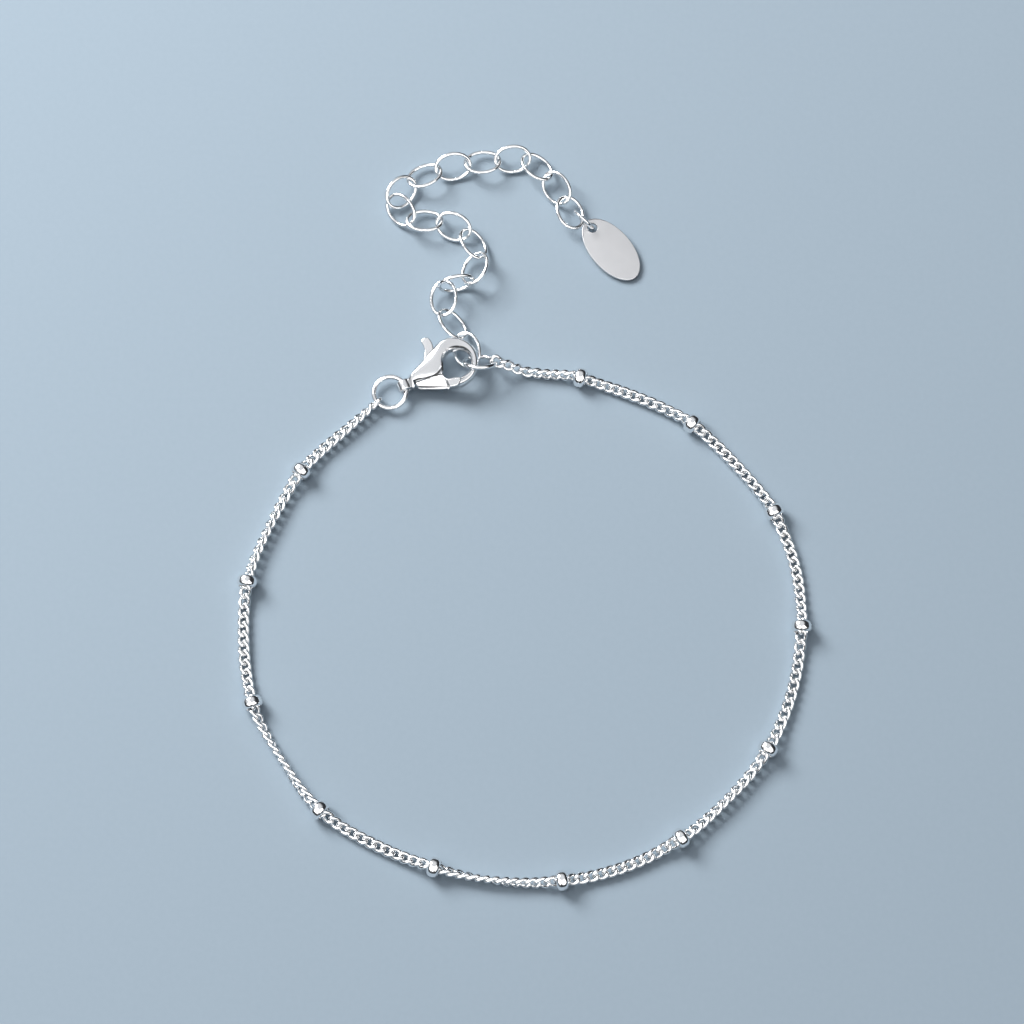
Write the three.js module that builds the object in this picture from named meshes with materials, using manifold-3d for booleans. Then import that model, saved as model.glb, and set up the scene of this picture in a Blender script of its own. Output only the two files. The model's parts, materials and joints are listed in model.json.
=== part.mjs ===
// A fine curb-chain bracelet with twelve beads, closed by a lobster clasp and lying on a floor.
// Units are millimetres, +Z is up and the floor is z = 0. +X is to the right as it lies, +Y is away.
import * as THREE from 'three';
import { mergeVertices } from 'three/addons/utils/BufferGeometryUtils.js';
import Module from 'manifold-3d';

const wasm = await Module();
wasm.setup();

// Curb chain, built as a plain tube of the chain's mean diameter
const CHAIN_DIAMETER = 1.0;
const CHAIN_SIDES = 8;
const CHAIN_STEPS = 80;
const CHAIN_LOOP = { length: 1.54, width: 1.3, wire: 0.3, bite: 0.43 };

// Beads threaded on the chain
const BEAD_DIAMETER = 1.75;
const BEAD_LENGTH = 1.32;
const BEAD_GAP = 0.11;
const BEAD_FULLNESS = 2.9;

// Rings and extender links: outer sizes and wire diameters
const LINK = { length: 3.95, width: 3.05, wire: 0.36, gap: 0.12, fullness: 2.05 };
const JUMP_RING = { diameter: 3.75, wire: 0.45 };
const END_RING = { diameter: 3.6, wire: 0.42 };
const TAG_RING = { diameter: 2.9, wire: 0.34 };
const RING_TURNS = 20;
const LINK_TURNS = 16;
const WIRE_SIDES = 6;

// Oval tag
const TAG = { length: 7.8, width: 4.0, thickness: 0.36, bevel: 0.08, hole: 1.0, inset: 0.95 };

// Clasp, in its own frame: origin in the middle of the hook's hole, x to the nose, y to the thumb tab
const CLASP = {
  thickness: 1.6, bevel: 0.22, noseTaper: 0.78,
  holeRadius: 1.4, outerRadius: 2.4, outerX: -0.2, outerY: 0.3,
  tipInner: -100, tipOuter: -101, shoulder: 115,
  slot: 0.96, lever: 0.8, leverBevel: 0.12,
  pivotX: -3.2, pivotY: 0.5, pinRadius: 0.2, pinHole: 0.28, pinLength: 1.2,
  eyeX: -5.75, eyeRadius: 0.78, eyeHole: 0.38, eyeWidth: 1.1,
};

// Where the beads lie along the loop, from the end ring clockwise to the jump ring
const BEAD_PLACES = [
  { x: 6.9, y: 13.9 },
  { x: 18.1, y: 9.0 },
  { x: 26.1, y: -0.3 },
  { x: 28.5, y: -12.1 },
  { x: 24.9, y: -24.4 },
  { x: 16.3, y: -33.2 },
  { x: 4.8, y: -37.3 },
  { x: -7.5, y: -36.0 },
  { x: -18.6, y: -30.4 },
  { x: -25.4, y: -19.8 },
  { x: -26.2, y: -7.5 },
  { x: -21.1, y: 4.0 },
];

// How each extender link lies, from the end ring out to the tag, in degrees
const LINK_LAY = [
  { heading: 108, roll: -22, pitch: 0 },
  { heading: 128, roll: 37, pitch: 6 },
  { heading: 90, roll: -20, pitch: 5 },
  { heading: 12, roll: 80, pitch: 0 },
  { heading: 72, roll: -30, pitch: -4 },
  { heading: 115, roll: 34, pitch: -4 },
  { heading: 158, roll: -36, pitch: 0 },
  { heading: 178, roll: 22, pitch: 0 },
  { heading: 130, roll: -38, pitch: 0 },
  { heading: 49, roll: 34, pitch: 0 },
  { heading: 26, roll: -22, pitch: 0 },
  { heading: 12, roll: 38, pitch: 0 },
  { heading: 6, roll: -17, pitch: 0 },
  { heading: 7, roll: 38, pitch: 0 },
  { heading: -45, roll: -25, pitch: 0 },
  { heading: -54, roll: 36, pitch: 0 },
  { heading: -72, roll: -18, pitch: 0 },
];
const FIRST_LINK = { x: -4.6, y: 16.9, z: 0.95 };

// How the other loose pieces lie
const CLASP_LAY = { x: -5.57, y: 15.17, z: 1.75, heading: 22.6, pitch: 8, roll: 0 };
const END_RING_LAY = { reach: 0.72, side: -0.25, heading: 0, pitch: 0, roll: -50 };
const JUMP_RING_LAY = { pitch: 4.5, chainAngle: 195 };
const TAG_RING_LAY = { along: 1.3, side: 1.05, rise: 0.6, heading: -44, pitch: 0, roll: -76, tagAngle: -25 };
const TAG_LAY = { heading: -50, pitch: -5, roll: 0 };

const silver = new THREE.MeshStandardMaterial({ color: 0xd9dadb, metalness: 1, roughness: 0.18 });
const satin = new THREE.MeshStandardMaterial({ color: 0xd2d4d6, metalness: 1, roughness: 0.42 });
const radians = THREE.MathUtils.degToRad;

// A frame with x along the heading, y to its left and z up, pitched nose up and rolled left side up.
function frameAt(place, lay) {
  const heading = radians(lay.heading);
  const pitch = radians(lay.pitch);
  const roll = radians(lay.roll);
  const along = new THREE.Vector3(
    Math.cos(heading) * Math.cos(pitch),
    Math.sin(heading) * Math.cos(pitch),
    Math.sin(pitch),
  );
  const level = new THREE.Vector3(-Math.sin(heading), Math.cos(heading), 0);
  const rise = along.clone().cross(level);
  const side = level.clone().multiplyScalar(Math.cos(roll)).addScaledVector(rise, Math.sin(roll));
  const up = along.clone().cross(side);
  return new THREE.Matrix4().makeBasis(along, side, up).setPosition(place.x, place.y, place.z);
}

function pointIn(frame, x, y, z) {
  return new THREE.Vector3(x, y, z).applyMatrix4(frame);
}

// A geometry as one welded closed body that faces outwards.
function toSolid(geometry) {
  const bare = geometry.index ? geometry.toNonIndexed() : geometry.clone();
  bare.deleteAttribute('normal');
  bare.deleteAttribute('uv');
  const welded = mergeVertices(bare);
  const mesh = (triangles) => new wasm.Mesh({
    numProp: 3,
    vertProperties: new Float32Array(welded.attributes.position.array),
    triVerts: new Uint32Array(triangles),
  });
  const triangles = Array.from(welded.index.array);
  const solid = new wasm.Manifold(mesh(triangles));
  if (solid.volume() > 0) return solid;
  return new wasm.Manifold(mesh(triangles.reverse()));
}

function toGeometry(solid) {
  const mesh = solid.getMesh();
  const geometry = new THREE.BufferGeometry();
  geometry.setAttribute('position', new THREE.Float32BufferAttribute(mesh.vertProperties, 3));
  geometry.setIndex(Array.from(mesh.triVerts));
  geometry.computeVertexNormals();
  return geometry;
}

// A closed wire ring in the xy plane; fullness 2 is an ellipse and more is squarer.
function wireRing(length, width, wire, fullness, turns, sides) {
  const halfLength = (length - wire) / 2;
  const halfWidth = (width - wire) / 2;
  const bulge = (value) => Math.sign(value) * Math.abs(value) ** (2 / fullness);
  const centre = (angle) => new THREE.Vector3(
    halfLength * bulge(Math.cos(angle)),
    halfWidth * bulge(Math.sin(angle)),
    0,
  );
  const positions = [];
  const triangles = [];
  for (let turn = 0; turn < turns; turn += 1) {
    const angle = (2 * Math.PI * (turn + 0.5)) / turns;
    const middle = centre(angle);
    const tangent = centre(angle + 0.01).sub(centre(angle - 0.01)).normalize();
    const outward = new THREE.Vector3(tangent.y, -tangent.x, 0);
    for (let side = 0; side < sides; side += 1) {
      const around = (2 * Math.PI * side) / sides;
      const point = middle.clone().addScaledVector(outward, (wire / 2) * Math.cos(around));
      positions.push(point.x, point.y, (wire / 2) * Math.sin(around));
      const here = turn * sides + side;
      const next = turn * sides + ((side + 1) % sides);
      const ahead = ((turn + 1) % turns) * sides;
      triangles.push(here, ahead + side, ahead + ((side + 1) % sides));
      triangles.push(here, ahead + ((side + 1) % sides), next);
    }
  }
  const geometry = new THREE.BufferGeometry();
  geometry.setAttribute('position', new THREE.Float32BufferAttribute(positions, 3));
  geometry.setIndex(triangles);
  return geometry;
}

function roundRing(ring) {
  return wireRing(ring.diameter, ring.diameter, ring.wire, 2, RING_TURNS, WIRE_SIDES);
}

function arc(centreX, centreY, radius, fromDegrees, toDegrees, steps) {
  const points = [];
  for (let step = 0; step <= steps; step += 1) {
    const angle = radians(fromDegrees + ((toDegrees - fromDegrees) * step) / steps);
    points.push({ x: centreX + radius * Math.cos(angle), y: centreY + radius * Math.sin(angle) });
  }
  return points;
}

// A flat shape with bevelled edges, extruded evenly about z = 0.
function plate(points, thickness, bevel, holes = []) {
  const shape = new THREE.Shape(points.map((point) => new THREE.Vector2(point.x, point.y)));
  for (const hole of holes) {
    shape.holes.push(new THREE.Path(hole.map((point) => new THREE.Vector2(point.x, point.y))));
  }
  const geometry = new THREE.ExtrudeGeometry(shape, {
    depth: thickness - 2 * bevel,
    bevelEnabled: bevel > 0,
    bevelThickness: bevel,
    bevelSize: bevel,
    bevelOffset: -bevel,
    bevelSegments: 2,
    curveSegments: 1,
  });
  geometry.translate(0, 0, bevel - thickness / 2);
  return geometry;
}

function claspBody() {
  const outline = [
    { x: -5.3, y: 0.48 },
    { x: -4.85, y: 0.72 },
    ...arc(CLASP.outerX, CLASP.outerY, CLASP.outerRadius, CLASP.shoulder, CLASP.tipOuter, 24),
    ...arc(0, 0, CLASP.holeRadius, CLASP.tipInner, 176, 24),
    { x: -4.82, y: 0.1 },
    { x: -4.86, y: -0.58 },
    { x: -5.3, y: -0.5 },
  ];
  const blank = plate(outline, CLASP.thickness, CLASP.bevel);
  const position = blank.attributes.position;
  for (let index = 0; index < position.count; index += 1) {
    const share = THREE.MathUtils.clamp((position.getX(index) + 1.2) / 2.4, 0, 1);
    position.setZ(index, position.getZ(index) * (1 - (1 - CLASP.noseTaper) * share));
  }
  const slotOutline = [
    { x: -4.74, y: -2.6 },
    { x: -4.74, y: 0.5 },
    { x: -4.2, y: 1.0 },
    { x: -3.85, y: 1.35 },
    { x: -3.95, y: 4.2 },
    { x: -1.2, y: 4.2 },
    { x: -1.25, y: 2.6 },
    { x: -1.5, y: 1.55 },
    { x: -1.25, y: 0.5 },
    { x: -1.0, y: -0.5 },
    { x: -1.0, y: -2.6 },
  ];
  const slot = plate(slotOutline, CLASP.slot, 0);
  const pin = new THREE.CylinderGeometry(CLASP.pinRadius, CLASP.pinRadius, CLASP.pinLength, 12);
  pin.rotateX(Math.PI / 2).translate(CLASP.pivotX, CLASP.pivotY, 0);
  const half = CLASP.eyeWidth / 2;
  const soft = 0.1;
  const eyeProfile = [
    { x: CLASP.eyeHole, y: -half },
    { x: CLASP.eyeRadius - soft, y: -half },
    { x: CLASP.eyeRadius, y: -half + soft },
    { x: CLASP.eyeRadius, y: half - soft },
    { x: CLASP.eyeRadius - soft, y: half },
    { x: CLASP.eyeHole, y: half },
    { x: CLASP.eyeHole, y: -half },
  ].map((point) => new THREE.Vector2(point.x, point.y));
  const eye = new THREE.LatheGeometry(eyeProfile, 20).translate(CLASP.eyeX, 0, 0);
  return toSolid(blank).subtract(toSolid(slot)).add(toSolid(pin)).add(toSolid(eye));
}

function claspLever() {
  const gateInside = arc(0, 0, CLASP.holeRadius + 0.07, 255, 202, 5);
  const outline = [
    ...gateInside,
    { x: -1.72, y: 0.1 },
    { x: -1.85, y: 0.7 },
    { x: -1.75, y: 1.6 },
    { x: -1.48, y: 2.6 },
    { x: -1.5, y: 3.25 },
    { x: -1.64, y: 3.54 },
    { x: -1.92, y: 3.66 },
    { x: -2.22, y: 3.58 },
    { x: -2.36, y: 3.36 },
    { x: -2.3, y: 3.0 },
    { x: -2.4, y: 2.5 },
    { x: -2.66, y: 2.0 },
    { x: -3.2, y: 1.3 },
    { x: -3.8, y: 0.95 },
    { x: -4.25, y: 0.6 },
    { x: -4.56, y: 0.15 },
    { x: -4.6, y: -0.4 },
    { x: -4.4, y: -0.9 },
    { x: -3.7, y: -1.32 },
    { x: -2.5, y: -1.72 },
    { x: -1.6, y: -1.93 },
    { x: -0.84, y: -1.95 },
  ];
  const pinHole = arc(CLASP.pivotX, CLASP.pivotY, CLASP.pinHole, 360, 30, 11);
  const blank = plate(outline, CLASP.lever, CLASP.leverBevel);
  const drill = plate(pinHole, 2, 0);
  return toSolid(blank).subtract(toSolid(drill));
}

function tagPlate() {
  const outline = arc(0, 0, 1, 0, 348.75, 31).map((point) => ({
    x: (point.x * TAG.length) / 2,
    y: (point.y * TAG.width) / 2,
  }));
  const hole = arc(TAG.inset - TAG.length / 2, 0, TAG.hole / 2, 360, 22.5, 15);
  return toSolid(plate(outline, TAG.thickness, TAG.bevel)).subtract(toSolid(plate(hole, 2, 0)));
}

function bead() {
  const hole = CHAIN_DIAMETER / 2 + BEAD_GAP;
  const radius = BEAD_DIAMETER / 2;
  const half = (BEAD_LENGTH / 2) * (1 - (hole / radius) ** BEAD_FULLNESS) ** (1 / BEAD_FULLNESS);
  const profile = [];
  const rows = 7;
  for (let row = 0; row < rows; row += 1) {
    const y = -half + (2 * half * row) / (rows - 1);
    const share = Math.abs((2 * y) / BEAD_LENGTH) ** BEAD_FULLNESS;
    profile.push(new THREE.Vector2(radius * (1 - share) ** (1 / BEAD_FULLNESS), y));
  }
  profile.push(profile[0].clone());
  return new THREE.LatheGeometry(profile, 14).rotateZ(-Math.PI / 2);
}

const group = new THREE.Group();
group.name = 'chain_bracelet';

function add(name, geometry, frame, material) {
  const mesh = new THREE.Mesh(toGeometry(toSolid(geometry).transform(frame.elements)), material);
  mesh.name = name;
  group.add(mesh);
}

// Clasp and the two rings on it
const claspFrame = frameAt(CLASP_LAY, CLASP_LAY);
add('clasp_body', toGeometry(claspBody()), claspFrame, silver);
add('clasp_lever', toGeometry(claspLever()), claspFrame, silver);

const jumpRadius = (JUMP_RING.diameter - JUMP_RING.wire) / 2;
const eyeMiddle = pointIn(claspFrame, CLASP.eyeX, 0, 0);
const jumpLay = { heading: CLASP_LAY.heading, pitch: JUMP_RING_LAY.pitch, roll: 0 };
const jumpDirection = frameAt(new THREE.Vector3(), jumpLay);
const jumpCentre = eyeMiddle.clone().sub(pointIn(jumpDirection, jumpRadius - 0.045, 0, 0));
const jumpFrame = frameAt(jumpCentre, jumpLay);
add('jump_ring', roundRing(JUMP_RING), jumpFrame, silver);

const endRadius = (END_RING.diameter - END_RING.wire) / 2;
const endInHook = pointIn(claspFrame, END_RING_LAY.reach, END_RING_LAY.side, 0);
const endCentre = endInHook.clone().add(new THREE.Vector3(endRadius, 0, 0.08));
const endFrame = frameAt(endCentre, END_RING_LAY);
add('end_ring', roundRing(END_RING), endFrame, silver);

// Extender: each link's end sits inside its neighbour's, deeper where the chain turns
const linkReach = (LINK.length - LINK.wire) / 2;
const linkCentre = new THREE.Vector3(FIRST_LINK.x, FIRST_LINK.y, FIRST_LINK.z);
const linkShape = wireRing(LINK.length, LINK.width, LINK.wire, LINK.fullness, LINK_TURNS, WIRE_SIDES);
let linkFrame = null;
let lastAlong = null;
LINK_LAY.forEach((lay, index) => {
  const along = pointIn(frameAt(new THREE.Vector3(), lay), 1, 0, 0);
  if (lastAlong) {
    const overlap = (LINK.wire + LINK.gap) / 2 / Math.cos(along.angleTo(lastAlong) / 2) ** 2.6;
    linkCentre.addScaledVector(lastAlong, linkReach - overlap).addScaledVector(along, linkReach - overlap);
  }
  lastAlong = along;
  linkFrame = frameAt(linkCentre, lay);
  add(`extender_link_${String(index + 1).padStart(2, '0')}`, linkShape, linkFrame, silver);
});

// Tag and its ring, on the last link
const tagRingRadius = (TAG_RING.diameter - TAG_RING.wire) / 2;
const tagRingCentre = pointIn(linkFrame, TAG_RING_LAY.along, TAG_RING_LAY.side, 0);
tagRingCentre.z += TAG_RING_LAY.rise;
const tagRingFrame = frameAt(tagRingCentre, TAG_RING_LAY);
add('tag_ring', roundRing(TAG_RING), tagRingFrame, silver);
const tagAngle = radians(-TAG_RING_LAY.tagAngle);
const tagHole = pointIn(tagRingFrame, tagRingRadius * Math.cos(tagAngle), tagRingRadius * Math.sin(tagAngle), 0);
const tagDirection = frameAt(new THREE.Vector3(), TAG_LAY);
const tagCentre = tagHole.clone().add(pointIn(tagDirection, TAG.length / 2 - TAG.inset, 0, 0));
add('tag', toGeometry(tagPlate()), frameAt(tagCentre, TAG_LAY), satin);

// Curb chain: from the end ring over the beads to the jump ring, dipping to the floor between beads
const chainRadius = CHAIN_DIAMETER / 2;
const beadHeight = BEAD_DIAMETER / 2;
const loopReach = (CHAIN_LOOP.length - CHAIN_LOOP.wire) / 2;
const startRing = pointIn(endFrame, endRadius, 0, 0);
const jumpAngle = radians(JUMP_RING_LAY.chainAngle);
const finishRing = pointIn(jumpFrame, jumpRadius * Math.cos(jumpAngle), jumpRadius * Math.sin(jumpAngle), 0);
const places = BEAD_PLACES.map((place) => new THREE.Vector3(place.x, place.y, beadHeight));
const planPoints = [startRing, ...places, finishRing].map((point) => new THREE.Vector3(point.x, point.y, 0));
const plan = new THREE.CatmullRomCurve3(planPoints, false, 'centripetal');

function loopAt(ringPoint, ringFrame, outward) {
  const normal = pointIn(ringFrame, 0, 0, 1).sub(pointIn(ringFrame, 0, 0, 0));
  const side = normal.clone().addScaledVector(outward, -normal.dot(outward)).normalize();
  const up = outward.clone().cross(side);
  const middle = ringPoint.clone().addScaledVector(outward, loopReach - CHAIN_LOOP.bite);
  const frame = new THREE.Matrix4().makeBasis(outward, side, up).setPosition(middle);
  const tip = ringPoint.clone().addScaledVector(outward, 2 * loopReach - CHAIN_LOOP.bite);
  return { frame, tip };
}
const startOut = pointIn(endFrame, 1, 0, 0).sub(endCentre);
const finishOut = finishRing.clone().sub(jumpCentre).normalize();
const startLoop = loopAt(startRing, endFrame, startOut);
const finishLoop = loopAt(finishRing, jumpFrame, finishOut);

const route = [startLoop.tip];
const rests = 4;
for (let gap = 0; gap <= places.length; gap += 1) {
  for (let rest = 1; rest <= rests; rest += 1) {
    const share = rest / rests;
    if (gap === places.length && rest === rests) break;
    const point = plan.getPoint((gap + share) / (places.length + 1));
    const fromBead = gap > 0 ? Math.cos(Math.PI * share) ** 2 : 1;
    const toBead = share > 0.5 || gap > 0 ? Math.cos(Math.PI * share) ** 2 : 0;
    const lift = Math.min(fromBead, toBead);
    point.z = chainRadius + (beadHeight - chainRadius) * lift;
    route.push(point);
  }
}
route.push(finishLoop.tip);
const chainCurve = new THREE.CatmullRomCurve3(route, false, 'centripetal');
const section = new THREE.Shape(arc(0, 0, chainRadius, 0, 315, CHAIN_SIDES - 1)
  .map((point) => new THREE.Vector2(point.x, point.y)));
const tube = new THREE.ExtrudeGeometry(section, {
  steps: CHAIN_STEPS,
  extrudePath: chainCurve,
  curveSegments: 1,
});
const loop = wireRing(CHAIN_LOOP.length, CHAIN_LOOP.width, CHAIN_LOOP.wire, 2, 12, 5);
const chain = toSolid(tube)
  .add(toSolid(loop).transform(startLoop.frame.elements))
  .add(toSolid(loop).transform(finishLoop.frame.elements));
add('curb_chain', toGeometry(chain), new THREE.Matrix4(), silver);

// Beads, each square to the chain where it sits
const beadShape = bead();
places.forEach((place, index) => {
  const share = (index + 1) / (places.length + 1);
  const tangent = plan.getTangent(share);
  const heading = THREE.MathUtils.radToDeg(Math.atan2(tangent.y, tangent.x));
  const frame = frameAt(place, { heading, pitch: 0, roll: 0 });
  add(`bead_${String(index + 1).padStart(2, '0')}`, beadShape, frame, silver);
});

// The frame's origin is the middle of the bottom of the bounding box
const box = new THREE.Box3().setFromObject(group);
const shift = box.getCenter(new THREE.Vector3()).negate();
shift.z = -box.min.z;
for (const mesh of group.children) mesh.geometry.translate(shift.x, shift.y, shift.z);

export default group;
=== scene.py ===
import json
import math
from collections import namedtuple

import bpy
import numpy as np
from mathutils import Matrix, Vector
from mathutils.geometry import delaunay_2d_cdt


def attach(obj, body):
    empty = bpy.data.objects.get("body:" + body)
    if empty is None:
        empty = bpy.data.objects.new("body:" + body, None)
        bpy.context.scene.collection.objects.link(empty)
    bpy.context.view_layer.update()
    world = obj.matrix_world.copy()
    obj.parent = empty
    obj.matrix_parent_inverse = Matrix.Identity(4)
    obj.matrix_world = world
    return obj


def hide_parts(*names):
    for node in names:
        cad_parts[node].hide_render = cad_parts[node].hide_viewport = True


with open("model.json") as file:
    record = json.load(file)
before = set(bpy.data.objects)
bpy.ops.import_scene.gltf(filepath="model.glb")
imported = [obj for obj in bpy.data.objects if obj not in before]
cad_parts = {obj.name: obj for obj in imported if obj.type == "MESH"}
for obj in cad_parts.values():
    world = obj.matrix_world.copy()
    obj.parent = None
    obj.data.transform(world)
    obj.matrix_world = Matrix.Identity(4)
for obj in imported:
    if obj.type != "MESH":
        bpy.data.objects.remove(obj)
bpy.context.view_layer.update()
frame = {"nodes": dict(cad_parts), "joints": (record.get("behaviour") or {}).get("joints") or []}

# A fine curb-chain bracelet with oblate beads, a lobster clasp, an extender and an oval tag.
# Shapes are worked out in millimetres in each piece's own frame and set down in metres.
MM = 0.001
POINT_DIGITS = 7
BRACELET = "bracelet"
LEVER = "lever"
POLISHED = "polished_silver"
SATIN = "satin_silver"

# Wire pieces, in millimetres: outer length and width, wire diameter, fullness of the oval,
# and the number of points along the wire and around it
Wire = namedtuple("Wire", "length width wire fullness along around")
EXTENDER_LINK = Wire(3.99, 3.09, 0.4, 2.05, 72, 14)
JUMP_RING = Wire(3.8, 3.8, 0.5, 2.0, 96, 16)
END_RING = Wire(3.64, 3.64, 0.46, 2.0, 96, 16)
TAG_RING = Wire(2.86, 2.86, 0.38, 2.0, 80, 14)
EXTENDER_LINKS = 17

# Butt seams: the angle of each round its piece, for even and odd links in turn, and the groove's shape
EXTENDER_SEAMS = (270, 90)
JUMP_RING_SEAM = 140
END_RING_SEAM = 60
TAG_RING_SEAM = 200
SEAM_DEPTH = 0.16
SEAM_WIDTH = 0.02
SEAM_CLEAR = 0.1
SEAM_SPREAD = (-0.09, -0.045, -0.02, -0.008, 0.008, 0.02, 0.045, 0.09)

# Curb chain: links are twisted ovals that lie flat, each through the last
CURB_PITCH = 0.958
CURB_WIRE = 0.38
CURB_HALF_WIDTH = 0.44
CURB_FULLNESS = 2.8
CURB_SLACK = 0.02
CURB_TWIST = 55
END_LINK_SPREAD = 0.34
END_LINK_RISE = 2.5
CURB_ALONG = 40
CURB_AROUND = 10
CURB_LINES_SHIFT = 7.0
RING_GAP = 0.05
END_RING_EXIT = 0.0
JUMP_RING_EXIT = 217.6
ROUTE_STEPS = 200
FALL_TO_FLOOR = 3.0

# How each stretch of chain lies from the end ring to the jump ring: roll in degrees at its start, middle
# and finish, positive with the inner edge up, and how far its middle bows outwards in millimetres
Stretch = namedtuple("Stretch", "start middle finish bow")
CHAIN_LIE = (
    Stretch(-40, -70, -64, -0.25),
    Stretch(-62, -14, -62, 0.0),
    Stretch(-30, 5, -20, -0.15),
    Stretch(-25, 0, 30, 0.1),
    Stretch(5, 0, -20, 0.05),
    Stretch(-20, -62, -25, -0.15),
    Stretch(15, 12, 30, 0.05),
    Stretch(35, 88, 140, 0.0),
    Stretch(-35, 12, 40, -0.1),
    Stretch(42, 90, 145, -0.25),
    Stretch(-35, 18, 0, -0.1),
    Stretch(45, 62, 8, -0.15),
    Stretch(10, 30, 72, -0.1),
)

# Beads: hollow rondelles with an open mouth at each end, whose lip turns back and in by shares of its depth
BEADS = 12
BEAD_RADIUS = 1.0
BEAD_HALF_LENGTH = 0.71
BEAD_FULLNESS = 2.7
BEAD_MOUTH = 0.73
BEAD_LIP = 0.04
BEAD_LIP_TURN = ((0.2, 0.6), (1.2, 1.0))
BEAD_HOLLOW = 0.83
BEAD_HOLLOW_START = 0.9
BEAD_HOLLOW_ROWS = 7
BEAD_ROUND = 56
BEAD_ROWS = 30

# Tag: an oval plate with a hole near one end, with rows of points from the hole's edge to the rim
TAG_LENGTH = 7.8
TAG_WIDTH = 4.3
TAG_HALF = 0.18
TAG_EDGE = 0.1
TAG_EDGE_ROWS = 6
TAG_HOLE = 0.5
TAG_HOLE_EDGE = 0.4
TAG_INSET = 0.95
TAG_MARGIN = 0.03
TAG_FACE = (0.12, 0.88)
TAG_FACE_ROWS = 9
TAG_CROWN = 0.03
TAG_ROUND = 128

# Clasp, in its own frame: origin in the middle of the hook's hole, x to the nose, y to the thumb tab
CLASP_HEADING = 22.6
CLASP_PITCH = 8.0
PIVOT = (-3.2, 0.5)
CLASP_HALF = 0.8
NOSE_HALF = 0.62
NOSE_REACH = (-1.2, 1.2)
NECK_HALF = 0.53
NECK_REACH = (-5.4, -4.6)
HOLE_MIDDLE = (-0.03, -0.12)
HOLE_RADIUS = 1.5
HOLE_START = 172
HOLE_TIP = -89
HOOK_MIDDLE = (-0.36, 0.14)
HOOK_RADIUS = 2.66
HOOK_SHOULDER = 112
HOOK_TIP = -95.6
CLASP_CREASE = 34

# Clasp's sections: how many there are, and how the cheek's dome turns into the hook's round, flat and bevel.
# Edges turn by steps back and down, and a round or bevel takes no more than a share of the hook's width.
EDGE_STEPS = 12
SHANK_SECTIONS = 44
HOOK_SECTIONS = 72
HOOK_BLEND = (SHANK_SECTIONS - 4, SHANK_SECTIONS + 12)
RISE_ROWS = 10
DOME_SHARE = 0.42
DOME_POWER = 0.8
DOME_FALL = 0.12
DOME_FACE = (0.15, 0.93)
DOME_EDGE = ((0.02, 0.01), (0.0, 0.05))
OUTER_ROUND = 0.36
HOOK_FACE = (0.1, 1.0)
FACE_ROWS = 5
BEVEL_WIDTH = 0.52
BEVEL_DROP = 0.27
BEVEL_EDGE = ((0.04, -0.04), (0.0, 0.02))
MOST_OF_HOOK = 0.42
INSIDE_SHARE = 0.4

# Clasp's slot, pin and eye
SLOT_HALF = 0.62
PIN_RADIUS = 0.2
PIN_HOLE = 0.28
PIN_LENGTH = 1.4
PIN_ROUND = 24
DRILL_HALF = 2.0
EYE_X = -5.75
EYE_RADIUS = 0.78
EYE_HOLE = 0.38
EYE_HALF_WIDTH = 0.55
EYE_SOFT = 0.16
EYE_SOFT_ROWS = 5
EYE_RIM = 0.07
EYE_RIM_TURN = ((0.0, 1.0), (0.3, 0.3), (1.0, 0.0))
EYE_ROUND = 40

# Clasp body's upper edge and lower edge from the eye to the hook, and the slot's outline
UPPER_EDGE = (
    (-5.3, 0.55), (-5.0, 0.74), (-4.46, 0.98), (-3.79, 1.3), (-3.22, 1.64), (-2.74, 1.96), (-2.2, 2.28),
    (-1.75, 2.48),
)
LOWER_EDGE = (
    (-5.3, -0.5), (-4.95, -0.72), (-4.82, -0.66), (-4.75, -0.06), (-4.6, 0.0), (-4.0, -0.06), (-3.48, -0.2),
    (-2.96, -0.3), (-2.42, -0.32), (-2.0, -0.2), (-1.72, -0.02),
)
SLOT = (
    (-4.7, -2.6), (-4.7, 0.42), (-4.2, 0.92), (-3.85, 1.25), (-3.95, 4.2), (-1.2, 4.2),
    (-1.25, 2.6), (-1.5, 1.55), (-1.25, 0.5), (-1.0, -0.5), (-1.0, -2.6),
)

# Clasp lever: its thickness and rounding, the cheek's slope and curl, the step to the gate, the seam groove
# along a line given as height and slope, the line of the cheek's foot, and where the thumb tab starts
LEVER_HALF = 0.57
LEVER_ROUND = 0.12
LEVER_ROUND_ROWS = 7
LEVER_FALL = 0.55
LEVER_CURL = 0.3
LEVER_CURL_POWER = 6
GATE_STEP = (-1.78, -1.5)
SEAM_GROOVE = 0.26
SEAM_LINE = (-0.606, -0.115)
SEAM_BANK = (-0.32, -0.02)
CHEEK_FOOT = (-2.74, -0.42)
TAB_ROOT = (1.0, 2.0)
LEVER_EDGE_STEPS = 10
LEVER_EDGE_POINTS = 200
LEVER_MARGIN = 0.02
LEVER_GRID = 0.05
LEVER_GRID_CLEAR = 0.7
SAME_POINT = 1e-5
LEVER_CREASE = 40

# Clasp lever's outline from the gate's inside round the thumb tab and the heel to the gate's end
LEVER_EDGE = (
    (-0.22, -1.68), (-0.62, -1.54), (-1.1, -1.38), (-1.48, -1.26), (-1.64, -1.06), (-1.68, -0.6),
    (-1.66, -0.1), (-1.72, 0.4), (-1.82, 1.0), (-1.75, 1.7), (-1.48, 2.6), (-1.5, 3.2), (-1.62, 3.5),
    (-1.82, 3.66), (-2.05, 3.72), (-2.3, 3.64), (-2.44, 3.44), (-2.4, 3.1), (-2.4, 2.75), (-2.5, 2.4),
    (-2.75, 1.95), (-3.2, 1.35), (-3.8, 0.95), (-4.25, 0.6), (-4.56, 0.15), (-4.63, -0.35), (-4.6, -0.75),
    (-4.4, -0.98), (-3.8, -1.26), (-3.1, -1.6), (-2.4, -1.9), (-1.7, -2.15), (-1.15, -2.3), (-0.72, -2.3),
)

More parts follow.
